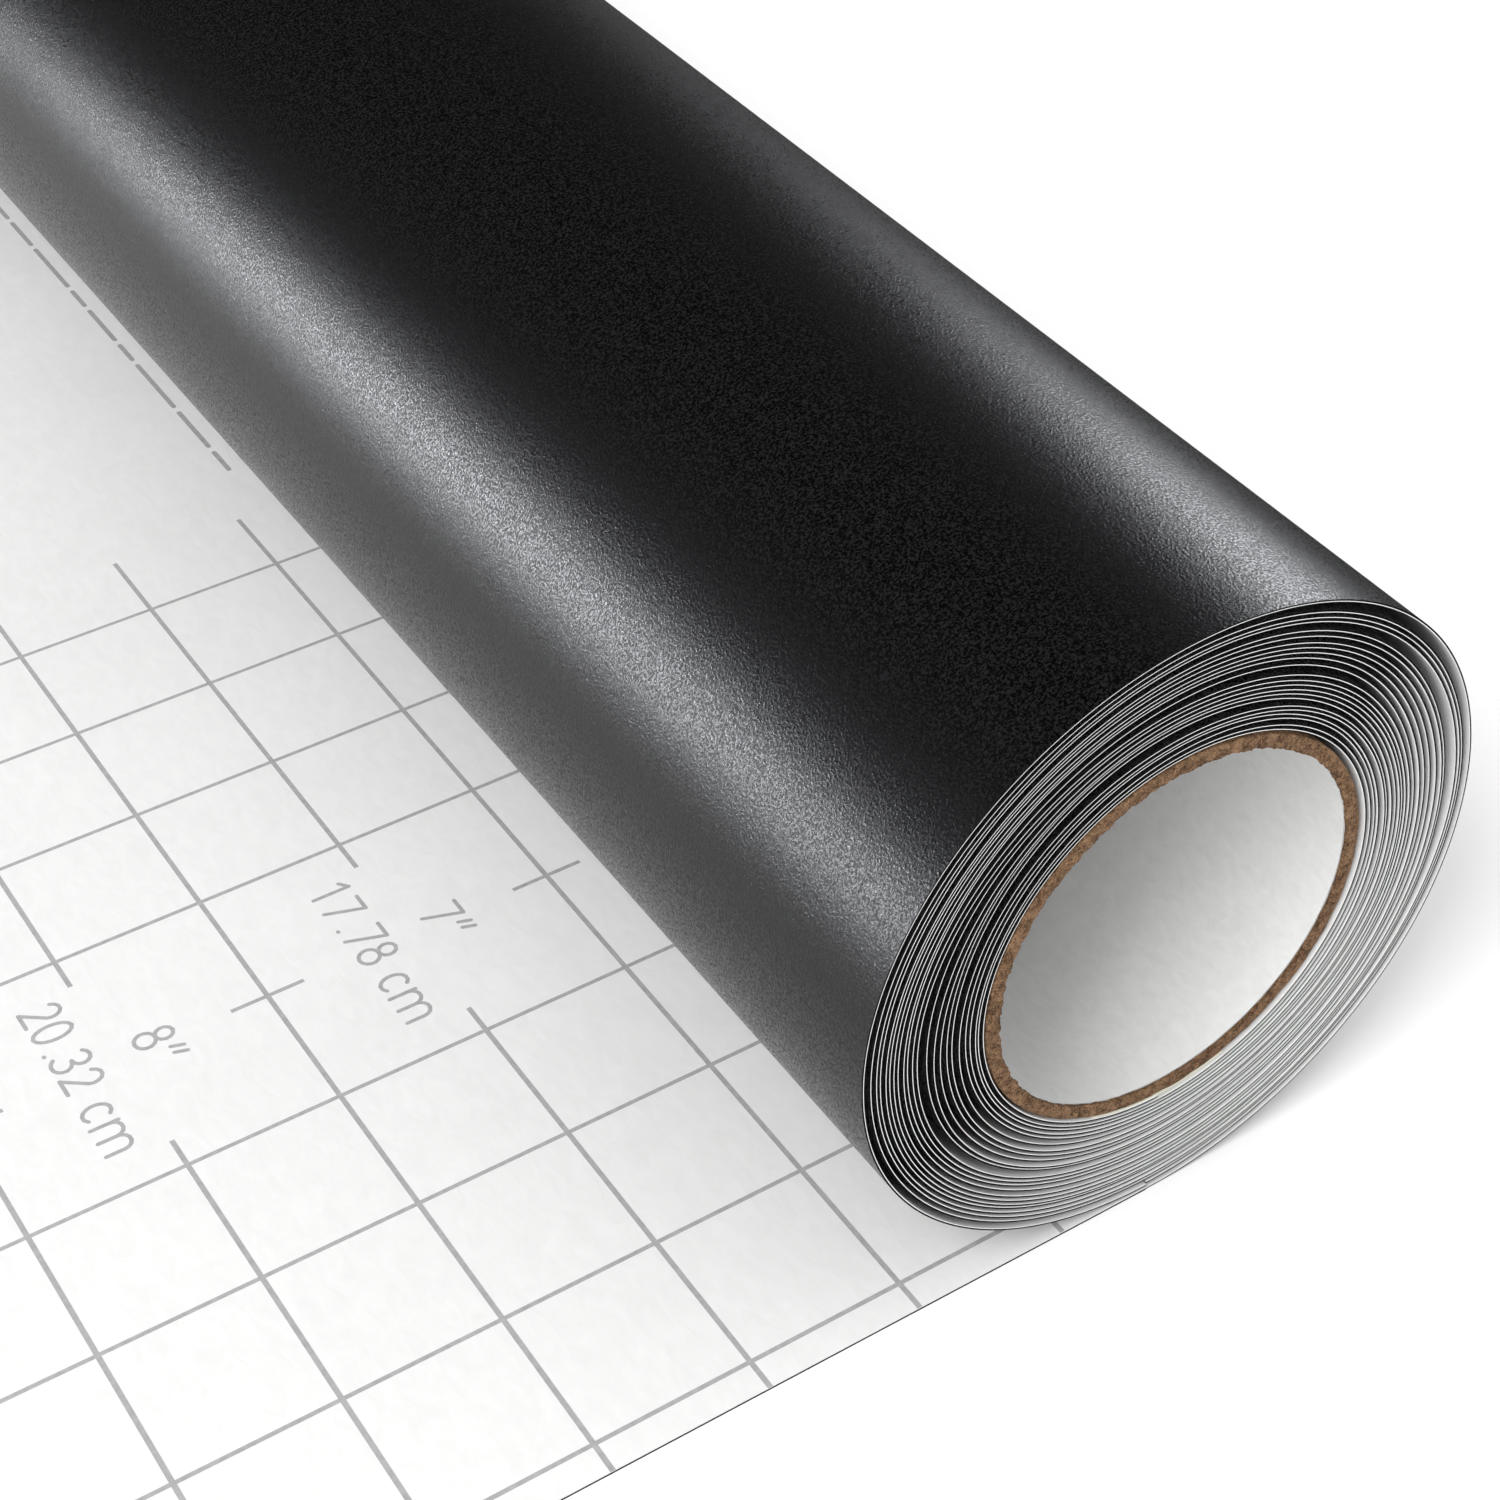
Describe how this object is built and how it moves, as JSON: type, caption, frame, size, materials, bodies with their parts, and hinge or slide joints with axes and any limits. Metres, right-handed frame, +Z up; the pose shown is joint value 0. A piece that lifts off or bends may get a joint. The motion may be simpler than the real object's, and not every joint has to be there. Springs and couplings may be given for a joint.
{
  "type": "roll of adhesive vinyl",
  "caption": "Partly unrolled roll of black self-adhesive sign vinyl on a paper-board core, with a printed release liner, a free end that lifts and peels, and turns that wind up.",
  "frame": {"origin": "centre of the core's bore, halfway along the roll, at rest", "axes": "+Y along the roll's axis, -X along the unrolled sheet away from the roll, +Z up; the surface it lies on is at z = -0.0265 m"},
  "size_m": [0.2063, 0.3048, 0.0526],
  "materials": {
    "vinyl_film": "satin black calendered film with a fine orange-peel grain",
    "release_liner": "coated white paper with a grey measuring grid on its back",
    "kraft_board": "brown kraft board, fuzzy where it is cut",
    "core_lining_paper": "smooth white paper",
    "start_tape": "pale double-sided tape"
  },
  "bodies": {
    "laid_sheet": {"film_laid": "vinyl_film", "liner_laid": "release_liner"},
    "unwinding_turn": {"film_outer_turn": "vinyl_film", "liner_outer_turn": "release_liner"},
    "wound_roll": {"core_lining": "core_lining_paper", "core_ply_1": "kraft_board", "core_ply_2": "kraft_board", "core_ply_3": "kraft_board", "start_tape": "start_tape", "film_turn_1": "vinyl_film", "film_turn_2": "vinyl_film", "film_turn_3": "vinyl_film", "film_turn_4": "vinyl_film", "film_turn_5": "vinyl_film", "film_turn_6": "vinyl_film", "film_turn_7": "vinyl_film", "film_turn_8": "vinyl_film", "film_turn_9": "vinyl_film", "film_turn_10": "vinyl_film", "film_turn_11": "vinyl_film", "film_turn_12": "vinyl_film", "film_turn_13": "vinyl_film", "film_turn_14": "vinyl_film", "film_turn_15": "vinyl_film", "film_turn_16": "vinyl_film", "film_turn_17": "vinyl_film", "film_turn_18": "vinyl_film", "film_turn_19": "vinyl_film", "film_turn_20": "vinyl_film", "film_turn_21": "vinyl_film", "film_turn_22": "vinyl_film", "liner_turn_1": "release_liner", "liner_turn_2": "release_liner", "liner_turn_3": "release_liner", "liner_turn_4": "release_liner", "liner_turn_5": "release_liner", "liner_turn_6": "release_liner", "liner_turn_7": "release_liner", "liner_turn_8": "release_liner", "liner_turn_9": "release_liner", "liner_turn_10": "release_liner", "liner_turn_11": "release_liner", "liner_turn_12": "release_liner", "liner_turn_13": "release_liner", "liner_turn_14": "release_liner", "liner_turn_15": "release_liner", "liner_turn_16": "release_liner", "liner_turn_17": "release_liner", "liner_turn_18": "release_liner", "liner_turn_19": "release_liner", "liner_turn_20": "release_liner", "liner_turn_21": "release_liner", "liner_turn_22": "release_liner"},
    "free_end": {"film_free_end": "vinyl_film", "liner_free_end": "release_liner"},
    "peeled_liner": {"liner_peeled_end": "release_liner"}
  },
  "joints": [
    {"name": "roll_travel", "type": "slide", "parent": "laid_sheet", "child": "unwinding_turn", "axis": [1, 0, 0], "range_m": [-0.104, 0], "deforming": ["film_laid", "liner_laid"]},
    {"name": "roll_spin", "type": "hinge", "parent": "unwinding_turn", "child": "wound_roll", "pos_m": [0, 0, 0], "axis": [0, 1, 0], "range_deg": [-228, 0]},
    {"name": "free_end_lift", "type": "hinge", "parent": "laid_sheet", "child": "free_end", "pos_m": [-0.15, 0, -0.02631], "axis": [0, 1, 0], "range_deg": [0, 35]},
    {"name": "liner_peel", "type": "hinge", "parent": "free_end", "child": "peeled_liner", "pos_m": [-0.158, 0, -0.02631], "axis": [0, 1, 0], "range_deg": [0, 90]}
  ],
  "couplings": [
    {"joint": "roll_spin", "follows": "roll_travel", "rad_per_m": 38.2}
  ]
}
